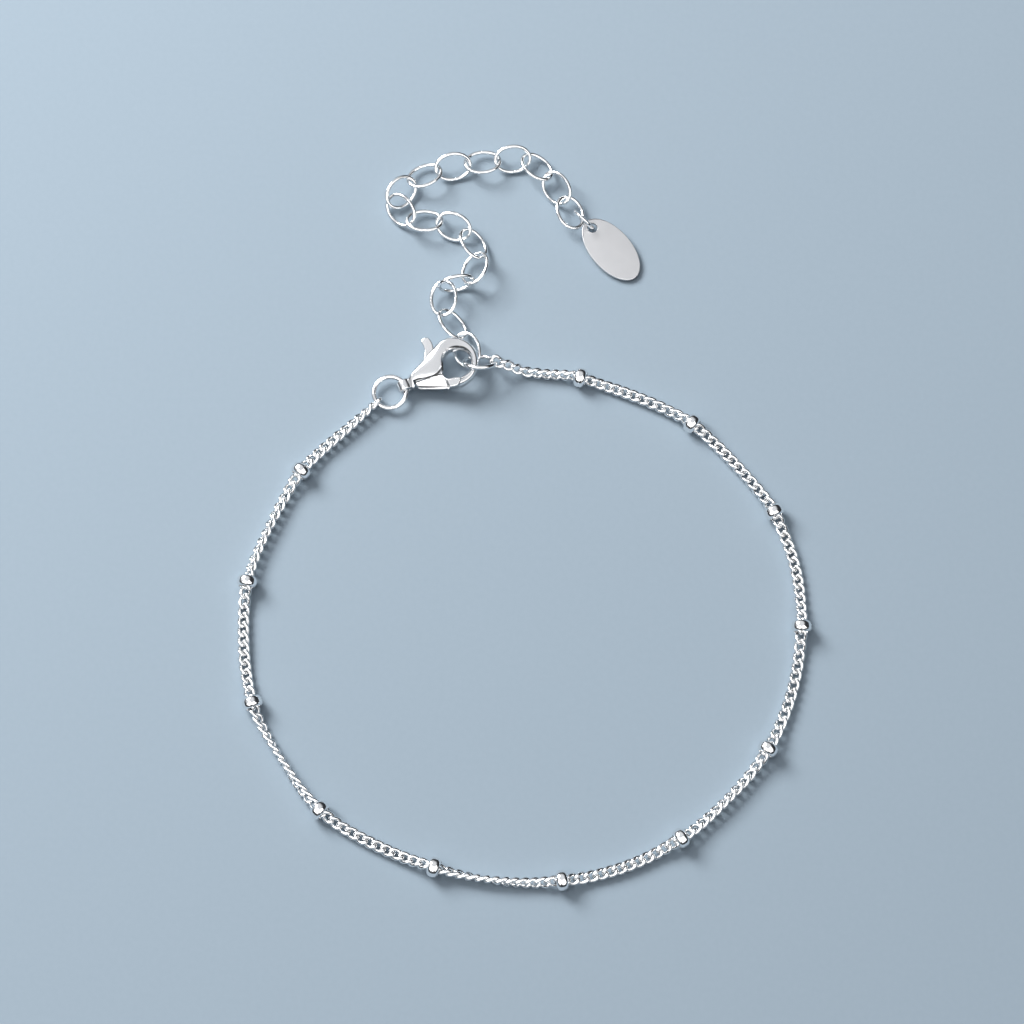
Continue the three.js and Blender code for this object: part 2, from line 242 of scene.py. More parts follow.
# Finishes: the two tones that each surface clouds between, and how fine its marks are in each direction
WIRE_TONES = ((0.96, 0.955, 0.945, 1), (0.86, 0.865, 0.875, 1))
WIRE_LINES = (9.0, 9.0, 0.5)
RING_POLISH = 0.08
CHAIN_POLISH = 0.1
BEAD_TONES = ((0.97, 0.965, 0.955, 1), (0.9, 0.9, 0.905, 1))
BEAD_RUB = (4200.0, 1400.0, 4200.0)
CLASP_TONES = ((0.9, 0.895, 0.89, 1), (0.8, 0.8, 0.81, 1))
CLASP_MARKS = (7000.0, 3500.0, 5000.0)
TAG_TONES = ((0.67, 0.665, 0.67, 1), (0.6, 0.6, 0.61, 1))
TAG_BRUSH = (1.2, 26.0, 4.0)
TAG_GRAIN = (22.0, 30.0, 8.0)
FLOOR_TONES = ((0.385, 0.475, 0.555, 1), (0.41, 0.5, 0.58, 1))

# Camera and floor, in metres, with the lens and its sensor in millimetres
VIEW_TARGET = (-0.001135, -0.000423, 0.0)
VIEW_ELEVATION = 73
VIEW_DISTANCE = 0.3
VIEW_LENS = 105.5
VIEW_SENSOR = 36
VIEW_NEAR = 0.01
FLOOR_HALF = 1.5
FLOOR_CORNERS = ((-1, -1), (1, -1), (1, 1), (-1, 1))

# Softboxes: where each stands and its width and height in metres, its watts, and if it lights the matt floor
Softbox = namedtuple("Softbox", "name place size power on_floor")
SOFTBOXES = (
    Softbox("key softbox", (-0.322, 0.29, 0.339), (0.26, 0.26), 3.4, True),
    Softbox("front left window", (-0.237, -0.283, 0.473), (0.62, 0.6), 1.9, False),
    Softbox("front right window", (0.237, -0.283, 0.473), (0.62, 0.6), 1.9, False),
)

# Light tent: its middle's direction, where its light ends and is full as a cosine from there, and its tones
TENT_MIDDLE = (-0.35, 0.3, 0.887)
TENT_EDGE = 0.5
TENT_FULL = 0.85
TENT_TONE = (0.71, 0.73, 0.76, 1)
ROOM_TONE = (0.03, 0.033, 0.038, 1)

# Where a piece lies, and how one curb link lies: its place in plan, its roll in radians, its pitch,
# the height of the nearest bead or ring, and how much of the way up to it the link is
Lie = namedtuple("Lie", "middle along side up")
CurbLink = namedtuple("CurbLink", "place roll pitch near lift")


def unit(vectors):
    """Vectors made one long."""
    return vectors / np.linalg.norm(vectors, axis=-1, keepdims=True)


def set_down(points, lie):
    """Points in millimetres of a piece's own frame, where the piece lies, in metres."""
    return lie.middle + MM * (points @ np.array((lie.along, lie.side, lie.up)))


def node_points(name):
    """The corners of a CAD node, each once."""
    mesh = frame["nodes"][name].data
    flat = np.empty(3 * len(mesh.vertices))
    mesh.vertices.foreach_get("co", flat)
    return np.unique(flat.reshape(-1, 3).round(POINT_DIGITS), axis=0)


def node_lie(name):
    """Where a flat or round CAD node lies: its middle, its longest direction, and its flat side up."""
    points = node_points(name)
    mean = points.mean(axis=0)
    along, _, up = np.linalg.svd(points - mean, full_matrices=False)[2]
    up = up * np.sign(up[2])
    side = np.cross(up, along)
    axes = np.array((along, side, up))
    reach = (points - mean) @ axes.T
    middle = mean + (reach.max(axis=0) + reach.min(axis=0)) / 2 @ axes
    return Lie(middle, along, side, up)


def wrap_faces(rows, columns):
    """Quads of a grid whose rows and columns both close on themselves, facing out of a wire."""
    row, column = np.meshgrid(np.arange(rows), np.arange(columns), indexing="ij")
    ahead = (row + 1) % rows
    beside = (column + 1) % columns
    corners = (
        row * columns + column,
        row * columns + beside,
        ahead * columns + beside,
        ahead * columns + column,
    )
    return np.stack(corners, axis=-1).reshape(-1, 4)


def between(first, second, time, start, finish):
    """Where a move from first at its start to second at its finish has come to at a time."""
    return ((finish - time) * first + (time - start) * second) / (finish - start)


def smooth_curve(points, steps, closed=False):
    """A centripetal curve through points, as one row of points for each span."""
    points = np.asarray(points, float)
    if closed:
        ring = np.vstack((points[-1:], points, points[:2]))
    else:
        ring = np.vstack((2 * points[0] - points[1], points, 2 * points[-1] - points[-2]))
    spans = []
    for first in range(len(ring) - 3):
        a, b, c, d = ring[first:first + 4]
        gaps = [np.linalg.norm(q - p) ** 0.5 for p, q in ((a, b), (b, c), (c, d))]
        t0, t1, t2, t3 = np.cumsum([0.0] + gaps)
        time = np.linspace(t1, t2, steps + 1)[:, None]
        ab = between(a, b, time, t0, t1)
        bc = between(b, c, time, t1, t2)
        cd = between(c, d, time, t2, t3)
        abc = between(ab, bc, time, t0, t2)
        bcd = between(bc, cd, time, t1, t3)
        spans.append(between(abc, bcd, time, t1, t2))
    return spans


def run_along(path):
    """The distance along a path to each of its points."""
    return np.concatenate(([0.0], np.cumsum(np.linalg.norm(np.diff(path, axis=0), axis=1))))


def even_points(path, count, closed=False):
    """The same path with points evenly spaced along it."""
    if closed:
        path = np.vstack((path, path[:1]))
    run = run_along(path)
    stops = np.linspace(0, run[-1], count, endpoint=not closed)
    return np.stack([np.interp(stops, run, column) for column in path.T], axis=1)


def arc(middle, radius, start, finish, count):
    """Points along an arc from one angle to another, in degrees."""
    angle = np.radians(np.linspace(start, finish, count))
    return np.stack((middle[0] + radius * np.cos(angle), middle[1] + radius * np.sin(angle)), axis=1)


def bulge(value, fullness):
    """A sine or cosine made fuller than an ellipse's when fullness is over 2."""
    return np.sign(value) * np.abs(value) ** (2 / fullness)


def ease(value, low, high):
    """0 below low and 1 above high, with a smooth rise between."""
    share = np.clip((value - low) / (high - low), 0, 1)
    return share * share * (3 - 2 * share)


class Value:
    """A shader socket that Python's operators join to others with Math nodes."""

    def __init__(self, paint, socket):
        self.paint = paint
        self.socket = socket

    def math(self, operation, first, second):
        return self.paint.value("ShaderNodeMath", {"operation": operation}, {0: first, 1: second})

    def __add__(self, other):
        return self.math("ADD", self, other)

    def __radd__(self, other):
        return self.math("ADD", other, self)

    def __mul__(self, other):
        return self.math("MULTIPLY", self, other)

    def __rmul__(self, other):
        return self.math("MULTIPLY", other, self)


class Paint:
    """The nodes of one material or world."""

    def __init__(self, owner):
        self.owner = owner
        self.owner.use_nodes = True
        self.tree = self.owner.node_tree
        self.tree.nodes.clear()

    def add(self, kind, settings, sockets):
        """A node of any kind: its settings are set first, then the values or links of its sockets."""
        node = self.tree.nodes.new(kind)
        for name, setting in settings.items():
            setattr(node, name, setting)
        for name, value in sockets.items():
            if isinstance(value, Value):
                self.tree.links.new(value.socket, node.inputs[name])
            else:
                node.inputs[name].default_value = value
        return node

    def value(self, kind, settings, sockets, output=0):
        return Value(self, self.add(kind, settings, sockets).outputs[output])

    def place(self):
        return self.value("ShaderNodeTexCoord", {}, {}, "Object")

    def lay(self):
        """How the surface lies on its piece, from the points' own values."""
        return self.value("ShaderNodeAttribute", {"attribute_name": "lay"}, {}, "Vector")

    def noise(self, vector, scale=1.0, detail=2.0, roughness=0.5):
        sockets = {"Vector": vector, "Scale": scale, "Detail": detail, "Roughness": roughness}
        return self.value("ShaderNodeTexNoise", {}, sockets)

    def stretch(self, vector, factors):
        return self.value("ShaderNodeVectorMath", {"operation": "MULTIPLY"}, {0: vector, 1: factors})

    def ramp(self, value, low, high):
        sockets = {"Value": value, "From Min": low, "From Max": high}
        return self.value("ShaderNodeMapRange", {"interpolation_type": "SMOOTHSTEP"}, sockets)

    def mix(self, share, first, second):
        settings = {"data_type": "RGBA"}
        return self.value("ShaderNodeMix", settings, {0: share, 6: first, 7: second}, 2)

    def bump(self, height, strength, distance):
        sockets = {"Height": height, "Strength": strength, "Distance": distance}
        return self.value("ShaderNodeBump", {}, sockets)

    def finish(self, sockets):
        shader = self.value("ShaderNodeBsdfPrincipled", {}, sockets)
        self.add("ShaderNodeOutputMaterial", {}, {"Surface": shader})
        return self.owner

    def metal(self, tone, rough, bump):
        return self.finish({"Base Color": tone, "Metallic": 1.0, "Roughness": rough, "Normal": bump})


def wire_silver(name, polish):
    """Drawn silver wire: bright, with faint lines along the wire and a few soft scuffs."""
    paint = Paint(bpy.data.materials.new(name))
    place = paint.place()
    lines = paint.noise(paint.stretch(paint.lay(), WIRE_LINES), detail=3.0, roughness=0.6)
    scuffs = paint.ramp(paint.noise(place, scale=2600.0, detail=3.0, roughness=0.6), low=0.52, high=0.72)
    cloud = paint.noise(place, scale=420.0)
    tone = paint.mix(cloud, *WIRE_TONES)
    rough = polish + 0.06 * lines + 0.07 * scuffs + 0.03 * cloud
    height = lines * 0.7 + scuffs * 0.3
    return paint.metal(tone, rough, paint.bump(height, strength=0.06, distance=0.00003))


def bead_silver():
    """Mirror-polished shells with a breath of haze and fine rubbing marks."""
    paint = Paint(bpy.data.materials.new("bead mirror silver"))
    place = paint.place()
    haze = paint.noise(place, scale=900.0)
    rub = paint.noise(paint.stretch(place, BEAD_RUB), roughness=0.55)
    tone = paint.mix(haze, *BEAD_TONES)
    rough = 0.08 + 0.06 * haze + 0.03 * rub
    return paint.metal(tone, rough, paint.bump(rub, strength=0.03, distance=0.00002))


def clasp_silver():
    """Cast and tumbled silver: softly waved, with fine tumbling marks and a rubbed sheen."""
    paint = Paint(bpy.data.materials.new("tumbled clasp silver"))
    place = paint.place()
    wave = paint.noise(place, scale=700.0)
    marks = paint.noise(paint.stretch(place, CLASP_MARKS), detail=3.0, roughness=0.6)
    tone = paint.mix(wave, *CLASP_TONES)
    rough = 0.12 + 0.08 * wave + 0.06 * marks
    height = wave * 0.8 + marks * 0.2
    return paint.metal(tone, rough, paint.bump(height, strength=0.08, distance=0.00005))


def tag_silver():
    """Satin-brushed silver sheet, brushed along the tag."""
    paint = Paint(bpy.data.materials.new("satin tag silver"))
    lay = paint.lay()
    brush = paint.noise(paint.stretch(lay, TAG_BRUSH), detail=4.0, roughness=0.65)
    grain = paint.noise(paint.stretch(lay, TAG_GRAIN))
    cloud = paint.noise(lay, scale=0.5)
    tone = paint.mix(cloud, *TAG_TONES)
    rough = 0.34 + 0.1 * brush + 0.08 * grain
    height = brush * 0.6 + grain * 0.4
    return paint.metal(tone, rough, paint.bump(height, strength=0.18, distance=0.00004))


def floor_paper():
    """A plain pale matt floor."""
    paint = Paint(bpy.data.materials.new("pale floor"))
    tooth = paint.noise(paint.place(), scale=1800.0)
    tone = paint.mix(tooth, *FLOOR_TONES)
    return paint.finish({"Base Color": tone, "Roughness": 0.85, "Specular IOR Level": 0.2})


def new_mesh(name, points, faces, lay=None):
    """A smooth-shaded mesh, with how its surface lies at each point where a material needs that."""
    mesh = bpy.data.meshes.new(name)
    mesh.from_pydata(np.asarray(points).tolist(), [], [list(face) for face in faces])
    if lay is not None:
        layer = mesh.attributes.new("lay", "FLOAT_VECTOR", "POINT")
        layer.data.foreach_set("vector", np.ascontiguousarray(lay, dtype=np.float32).ravel())
    mesh.shade_smooth()
    return mesh


def new_piece(name, mesh, material, body, slot, *nodes):
    """A piece of the bracelet that rides on a body in place of CAD nodes."""
    piece = bpy.data.objects.new(name, mesh)
    bpy.context.scene.collection.objects.link(piece)
    mesh.materials.append(material)
    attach(piece, body)
    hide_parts(*nodes)


def wire_surface(path, radii, around):
    """A round wire along a closed path: its points, row by row, and how the wire lies at each."""
    ahead = unit(np.roll(path, -1, axis=0) - np.roll(path, 1, axis=0))
    outward = path - path.mean(axis=0)
    outward = unit(outward - (outward * ahead).sum(axis=1, keepdims=True) * ahead)
    across = np.cross(ahead, outward)
    angle = 2 * np.pi * np.arange(around) / around
    cosine = np.cos(angle)
    sine = np.sin(angle)
    spokes = cosine[None, :, None] * outward[:, None] + sine[None, :, None] * across[:, None]
    points = path[:, None] + radii[:, None, None] * spokes
    run = np.cumsum(np.linalg.norm(path - np.roll(path, 1, axis=0), axis=1))
    lay = np.empty(points.shape)
    lay[..., 0] = cosine
    lay[..., 1] = sine
    lay[..., 2] = run[:, None]
    return points.reshape(-1, 3), lay.reshape(-1, 3)


def bent_wire(name, node, shape, seam, material):
    """A ring or link of bent wire with a closed butt seam at an angle, in place of its CAD node."""
    half_length = (shape.length - shape.wire) / 2
    half_width = (shape.width - shape.wire) / 2
    base = 2 * np.pi * np.arange(shape.along) / shape.along
    seam_angle = math.radians(seam)
    close = np.abs((base - seam_angle + np.pi) % (2 * np.pi) - np.pi) < SEAM_CLEAR / half_width
    angles = np.sort(np.concatenate((base[~close], seam_angle + np.array(SEAM_SPREAD) / half_width)))
    ahead = half_length * bulge(np.cos(angles), shape.fullness)
    across = half_width * bulge(np.sin(angles), shape.fullness)
    path = np.stack((ahead, across, 0 * angles), axis=1)
    offset = (angles - seam_angle) * half_width
    radii = shape.wire / 2 * (1 - SEAM_DEPTH * np.exp(-(offset / SEAM_WIDTH) ** 2))
    points, lay = wire_surface(path, radii, shape.around)
    faces = wrap_faces(len(path), shape.around)
    placed = set_down(points, node_lie(node))
    placed[:, 2] -= min(placed[:, 2].min(), 0.0)
    mesh = new_mesh(name, placed, faces, lay)
    new_piece(name, mesh, material, BRACELET, POLISHED, node)


def ring_exit(node, shape, heading):
    """The point of a ring's wire in a plan direction, and the way out of the ring there."""
    lie = node_lie(node)
    way = np.array((math.cos(math.radians(heading)), math.sin(math.radians(heading)), 0.0))
    out = unit(way - way.dot(lie.up) * lie.up)
    return lie.middle / MM + out * (shape.length - shape.wire) / 2, out


def bead_node(number):
    return f"bead_{number:02d}"


def bead_middle(node):
    """The middle of a bead that rests on the floor where its CAD node lies, in metres."""
    across, away, _ = node_points(node).mean(axis=0)
    return np.array((across, away, MM * BEAD_RADIUS))


def curb_half(pitch):
    """Half the length of a curb link's middle line."""
    return (pitch + CURB_WIRE + CURB_SLACK) / 2


def curb_path(pitch, ring_end):
    """The middle line of one curb link: an oval turned about its length, so that links lie flat.

    An end link has a wider, unturned end round its ring, at its start (-1) or its finish (1)."""
    turn = 2 * np.pi * np.arange(CURB_ALONG) / CURB_ALONG
    ahead = bulge(np.cos(turn), CURB_FULLNESS)
    open_end = np.clip(ring_end * ahead, 0, 1)
    spread = 1 + END_LINK_SPREAD * np.clip(END_LINK_RISE * open_end, 0, 1)
    across = CURB_HALF_WIDTH * spread * bulge(np.sin(turn), CURB_FULLNESS)
    twist = -math.radians(CURB_TWIST) * (ahead - ring_end * open_end)
    return np.stack((curb_half(pitch) * ahead, across * np.cos(twist), across * np.sin(twist)), axis=1)


def chain_stops():
    """The middles of the chain's first link, its beads and its last link, in millimetres."""
    ends = []
    rings = (("end_ring", END_RING, END_RING_EXIT), ("jump_ring", JUMP_RING, JUMP_RING_EXIT))
    for node, shape, heading in rings:
        point, out = ring_exit(node, shape, heading)
        bite = (shape.wire + CURB_WIRE) / 2 + RING_GAP
        ends.append(point + out * (curb_half(CURB_PITCH) - bite))
    beads = [bead_middle(bead_node(number)) / MM for number in range(1, BEADS + 1)]
    return np.array([ends[0], *beads, ends[1]])


def chain_links():
    """How each curb link lies, from the end ring through the beads to the jump ring."""
    stops = chain_stops()
    spans = smooth_curve(stops[:, :2], ROUTE_STEPS)
    links = []
    for number, (span, stretch) in enumerate(zip(spans, CHAIN_LIE)):
        run = run_along(span)
        length = run[-1]
        count = round(length / CURB_PITCH)
        ahead = unit(np.gradient(span, axis=0))
        outside = np.stack((-ahead[:, 1], ahead[:, 0]), axis=1)
        last = number == len(spans) - 1
        for link in range(count + last):
            share = link / count
            bow = stretch.bow * math.sin(math.pi * share) ** 2
            place = [np.interp(share * length, run, column) for column in (span + bow * outside).T]
            roll = np.interp(share, (0, 0.5, 1), (stretch.start, stretch.middle, stretch.finish))
            # A link looks alike after half a turn, so the one inside a bead turns the shorter way
            if link == 0 and number:
                before = CHAIN_LIE[number - 1].finish
                roll = before + ((stretch.start - before + 90) % 180 - 90) / 2
            behind = share * length
            to_go = (1 - share) * length
            near = stops[number, 2] if behind < to_go else stops[number + 1, 2]
            lift = 1 - ease(min(behind, to_go), 0.0, FALL_TO_FLOOR)
            links.append(CurbLink(place, math.radians(roll), length / count, near, lift))
    return links


def curb_chain(material):
    """The chain's links as one piece, each on the floor or at the height of the bead or ring beside it."""
    links = chain_links()
    ring_ends = [-1] + [0] * (len(links) - 2) + [1]
    paths = [curb_path(link.pitch, ring_end) for link, ring_end in zip(links, ring_ends)]
    heights = []
    for path, link in zip(paths, links):
        tilted = path[:, 2] * math.cos(link.roll) - path[:, 1] * math.sin(link.roll)
        resting = np.abs(tilted).max() + CURB_WIRE / 2
        heights.append(resting + (link.near - resting) * link.lift)
    middles = np.column_stack(([link.place for link in links], heights))
    along = unit(np.gradient(middles, axis=0))
    level = unit(np.stack((-along[:, 1], along[:, 0], 0 * along[:, 0]), axis=1))
    rise = np.cross(along, level)
    one = wrap_faces(CURB_ALONG, CURB_AROUND)
    radii = np.full(CURB_ALONG, CURB_WIRE / 2)
    points, lays, faces = [], [], []
    for index, (path, link) in enumerate(zip(paths, links)):
        side = math.cos(link.roll) * level[index] - math.sin(link.roll) * rise[index]
        up = np.cross(along[index], side)
        surface, lay = wire_surface(path, radii, CURB_AROUND)
        faces.append(one + index * len(surface))
        points.append(set_down(surface, Lie(MM * middles[index], along[index], side, up)))
        lays.append(lay + (0, 0, CURB_LINES_SHIFT * index))
    placed = np.vstack(points)
    placed[:, 2] -= placed[:, 2].min()
    mesh = new_mesh("curb_links", placed, np.vstack(faces), np.vstack(lays))
    new_piece("curb_links", mesh, material, BRACELET, POLISHED, "curb_chain")


def turned(section, count):
    """A closed section of (along x, radius) turned about the x direction."""
    angle = 2 * np.pi * np.arange(count) / count
    rounds = np.empty((count, len(section), 3))
    rounds[..., 0] = section[:, 0]
    rounds[..., 1] = section[:, 1] * np.cos(angle)[:, None]
    rounds[..., 2] = section[:, 1] * np.sin(angle)[:, None]
    return rounds.reshape(-1, 3), wrap_faces(count, len(section))


def bead_profile():
    """A bead's closed section as distance along the chain and distance from it."""
    start = math.asin((BEAD_MOUTH / BEAD_RADIUS) ** (BEAD_FULLNESS / 2))
    angle = np.linspace(start, np.pi - start, BEAD_ROWS)
    ahead = BEAD_HALF_LENGTH * bulge(np.cos(angle), BEAD_FULLNESS)
    outer = np.stack((ahead, BEAD_RADIUS * bulge(np.sin(angle), BEAD_FULLNESS)), axis=1)
    mouth = outer[0, 0]
    lip = [(mouth - back * BEAD_LIP, BEAD_MOUTH - inward * BEAD_LIP) for back, inward in BEAD_LIP_TURN]
    turns = np.linspace(BEAD_HOLLOW_START, np.pi - BEAD_HOLLOW_START, BEAD_HOLLOW_ROWS)
    hollow = [(mouth * math.cos(turn), BEAD_HOLLOW) for turn in turns]
    inner = [(-x, radius) for x, radius in lip + hollow] + lip[::-1]
    return np.vstack((outer, inner))


def bead_shell(number, material):
    """One hollow bead, turned about the direction of the chain through its CAD node."""
    node = bead_node(number)
    corners = node_points(node)
    axis = np.linalg.svd(corners - corners.mean(axis=0), full_matrices=False)[2][2]
    level = unit(np.cross((0.0, 0.0, 1.0), axis))
    lie = Lie(bead_middle(node), axis, level, np.cross(axis, level))
    points, faces = turned(bead_profile(), BEAD_ROUND)
    name = f"bead_shell_{number:02d}"
    mesh = new_mesh(name, set_down(points, lie), faces)
    new_piece(name, mesh, material, BRACELET, POLISHED, node)


def rim_reach(start, ways, scale):
    """How far the tag's rim is from a point inside it, in each direction."""
    a = ((ways * scale) ** 2).sum(axis=1)
    b = (ways * scale * start * scale).sum(axis=1)
    c = ((start * scale) ** 2).sum() - 1
    return (-b + np.sqrt(b * b - a * c)) / a


def tag_rows():
    """The tag's rows of points: each row's share of the way from hole to rim, a step more, and its height."""
    turns = np.linspace(0, np.pi / 2, TAG_EDGE_ROWS)
    flat = TAG_HALF - TAG_EDGE
    soft = [(TAG_EDGE * (1 - math.cos(turn)), flat + TAG_EDGE * math.sin(turn)) for turn in turns]
    rows = [(0.0, TAG_HOLE_EDGE * depth, height) for depth, height in soft]
    rows.append((0.0, TAG_HOLE_EDGE * TAG_EDGE + TAG_MARGIN, TAG_HALF))
    rows += [(share, 0.0, TAG_HALF) for share in np.linspace(*TAG_FACE, TAG_FACE_ROWS)]
    rows.append((1.0, -TAG_EDGE - TAG_MARGIN, TAG_HALF))
    rows += [(1.0, -depth, height) for depth, height in reversed(soft)]
    return rows + [(share, step, -height) for share, step, height in reversed(rows)]


def tag_plate(material):
    """An oval plate with softened edges and a drilled hole, as one grid from the hole out and back."""
    lie = node_lie("tag")
    if (node_points("tag").mean(axis=0) - lie.middle) @ lie.along > 0:
        lie = Lie(lie.middle, -lie.along, -lie.side, lie.up)
    hole = np.array((TAG_INSET - TAG_LENGTH / 2, 0.0))
    angle = 2 * np.pi * np.arange(TAG_ROUND) / TAG_ROUND
    ways = np.stack((np.cos(angle), np.sin(angle)), axis=1)
    scale = np.array((2 / TAG_LENGTH, 2 / TAG_WIDTH))
    reach = rim_reach(hole, ways, scale)
    rows = tag_rows()
    grid = np.empty((len(rows), TAG_ROUND, 3))
    for index, (share, step, height) in enumerate(rows):
        distance = TAG_HOLE + share * (reach - TAG_HOLE) + step
        grid[index, :, :2] = hole + distance[:, None] * ways
        crown = 1 - ((grid[index, :, :2] * scale) ** 2).sum(axis=1)
        grid[index, :, 2] = height + TAG_CROWN * crown
    points = grid.reshape(-1, 3)
    faces = wrap_faces(len(rows), TAG_ROUND)[:, ::-1]
    mesh = new_mesh("tag_plate", set_down(points, lie), faces, points)
    new_piece("tag_plate", mesh, material, BRACELET, SATIN, "tag")


def clasp_lie():
    """The clasp's frame: its up direction and its place come from the lever's pivot."""
    pivot = frame["joints"][0]
    heading = math.radians(CLASP_HEADING)
    pitch = math.radians(CLASP_PITCH)
    level = math.cos(pitch)
    along = np.array((math.cos(heading) * level, math.sin(heading) * level, math.sin(pitch)))
    up = unit(np.array(pivot["axis"], float))
    side = np.cross(up, along)
    middle = np.array(pivot["pos_m"]) - MM * (PIVOT[0] * along + PIVOT[1] * side)
    return Lie(middle, along, side, up)


def prism(outline, half):
    """A flat-sided block from an outline, in millimetres."""
    count = len(outline)
    points = [(x, y, -half) for x, y in outline] + [(x, y, half) for x, y in outline]
    sides = [(i, (i + 1) % count, (i + 1) % count + count, i + count) for i in range(count)]
    faces = [tuple(range(count))[::-1], tuple(range(count, 2 * count)), *sides]
    return np.array(points), faces


def pin_block(radius, half):
    """A round block through both cheeks about the lever's pivot."""
    return prism(arc(PIVOT, radius, 0, 360 - 360 / PIN_ROUND, PIN_ROUND), half)


def facing_out(points, faces):
    """The faces turned so that the solid's volume is positive."""
    volume = 0.0
    for face in faces:
        first = points[face[0]]
        for second, third in zip(face[1:-1], face[2:]):
            volume += first.dot(np.cross(points[second], points[third]))
    return faces if volume > 0 else [tuple(face)[::-1] for face in faces]


def carve(solid, tool, operation):
    """One mesh cut from or joined to another, both in millimetres."""
    pieces = []
    for points, faces in (solid, tool):
        mesh = bpy.data.meshes.new("blank")
        corners = [list(face) for face in facing_out(points, faces)]
        mesh.from_pydata(points.tolist(), [], corners)
        blank = bpy.data.objects.new("blank", mesh)
        bpy.context.scene.collection.objects.link(blank)
        pieces.append(blank)
    cut = pieces[0].modifiers.new("carve", "BOOLEAN")
    cut.operation = operation
    cut.solver = "EXACT"
    cut.object = pieces[1]
    shaped = pieces[0].evaluated_get(bpy.context.evaluated_depsgraph_get()).to_mesh()
    points = np.array([tuple(corner.co) for corner in shaped.vertices])
    faces = [tuple(face.vertices) for face in shaped.polygons]
    for blank in pieces:
        mesh = blank.data
        bpy.data.objects.remove(blank)
        bpy.data.meshes.remove(mesh)
    return points, faces


def shank_section(width, half):
    """Half a section of the clasp's cheek, from its outer edge over a dome to the seam."""
    crest = DOME_SHARE * width
    seam = half * (1 - DOME_FALL)
    rise = np.linspace(0, np.pi / 2, RISE_ROWS)
    section = [(crest * (1 - math.cos(turn)), half * math.sin(turn) ** DOME_POWER) for turn in rise]
    for share in np.linspace(*DOME_FACE, FACE_ROWS):
        section.append((crest + share * (width - crest), half * (1 - DOME_FALL * share ** 2)))
    section += [(width - back, seam - down) for back, down in DOME_EDGE]
    return np.array(section + [(width, INSIDE_SHARE * seam)])


def hook_section(width, half):
    """Half a section of the hook, from its rounded outside over a flat to the bevel round its hole."""
    soft = min(OUTER_ROUND, MOST_OF_HOOK * width)
    top = width - min(BEVEL_WIDTH, MOST_OF_HOOK * width)
    low = half - BEVEL_DROP
    rise = np.linspace(0, np.pi / 2, RISE_ROWS)
    section = [(soft * (1 - math.cos(turn)), half * math.sin(turn)) for turn in rise]
    section += [(soft + share * (top - soft), half) for share in np.linspace(*HOOK_FACE, FACE_ROWS)]
    section += [(width - back, low - down) for back, down in BEVEL_EDGE]
    return np.array(section + [(width, INSIDE_SHARE * low)])


def clasp_blank():
    """The clasp body before its slot is cut: sections from the eye's neck round to the hook's tip."""
    upper = even_points(np.vstack(smooth_curve(UPPER_EDGE, EDGE_STEPS)), SHANK_SECTIONS)
    lower = even_points(np.vstack(smooth_curve(LOWER_EDGE, EDGE_STEPS)), SHANK_SECTIONS)
    outer = np.vstack((upper, arc(HOOK_MIDDLE, HOOK_RADIUS, HOOK_SHOULDER, HOOK_TIP, HOOK_SECTIONS)))
    inner = np.vstack((lower, arc(HOLE_MIDDLE, HOLE_RADIUS, HOLE_START, HOLE_TIP, HOOK_SECTIONS)))
    hooked = ease(np.arange(len(outer)), *HOOK_BLEND)
    middle = (outer + inner)[:, 0] / 2
    half = NECK_HALF + (CLASP_HALF - NECK_HALF) * ease(middle, *NECK_REACH)
    half -= (CLASP_HALF - NOSE_HALF) * ease(middle, *NOSE_REACH)
    rows = []
    for start, finish, share, height in zip(outer, inner, hooked, half):
        width = np.linalg.norm(finish - start)
        way = (finish - start) / width
        section = (1 - share) * shank_section(width, height) + share * hook_section(width, height)
        section = np.vstack((section, section[:0:-1] * (1, -1)))
        rows.append(np.column_stack((start + section[:, :1] * way, section[:, 1])))
    count = len(rows[0])
    last = (len(rows) - 1) * count
    faces = [tuple(face) for face in wrap_faces(len(rows), count)[:last]]
    ends = [tuple(range(count))[::-1], tuple(range(last, last + count))]
    return np.vstack(rows), faces + ends


def eye_ring():
    """The ring at the clasp's end, with soft outer edges and a countersunk hole, across the clasp."""
    reach = EYE_RADIUS - EYE_SOFT
    wide = EYE_HALF_WIDTH - EYE_SOFT
    section = []
    for turn in np.linspace(0, np.pi / 2, EYE_SOFT_ROWS):
        section.append((wide + EYE_SOFT * math.sin(turn), reach + EYE_SOFT * math.cos(turn)))
    section += [(EYE_HALF_WIDTH - back * EYE_RIM, EYE_HOLE + out * EYE_RIM) for back, out in EYE_RIM_TURN]
    section += [(-across, radius) for across, radius in reversed(section)]
    points, faces = turned(np.array(section), EYE_ROUND)
    return points[:, (1, 0, 2)] + (EYE_X, 0, 0), faces


def clasp_body(lie, material):
    """The clasp's shell: two cheeks with the lever's slot between them, the hook, the pin and the eye."""
    solid = carve(clasp_blank(), prism(SLOT, SLOT_HALF), "DIFFERENCE")
    solid = carve(solid, eye_ring(), "UNION")
    points, faces = carve(solid, pin_block(PIN_RADIUS, PIN_LENGTH / 2), "UNION")
    mesh = new_mesh("clasp_shell", set_down(points, lie), faces)
    mesh.set_sharp_from_angle(angle=math.radians(CLASP_CREASE))
    new_piece("clasp_shell", mesh, material, BRACELET, POLISHED, "clasp_body")


def inset(outline, depth):
    """A closed outline, counterclockwise, moved inwards along its normals."""
    ahead = unit(np.roll(outline, -1, axis=0) - np.roll(outline, 1, axis=0))
    return outline + depth * np.stack((-ahead[:, 1], ahead[:, 0]), axis=1)


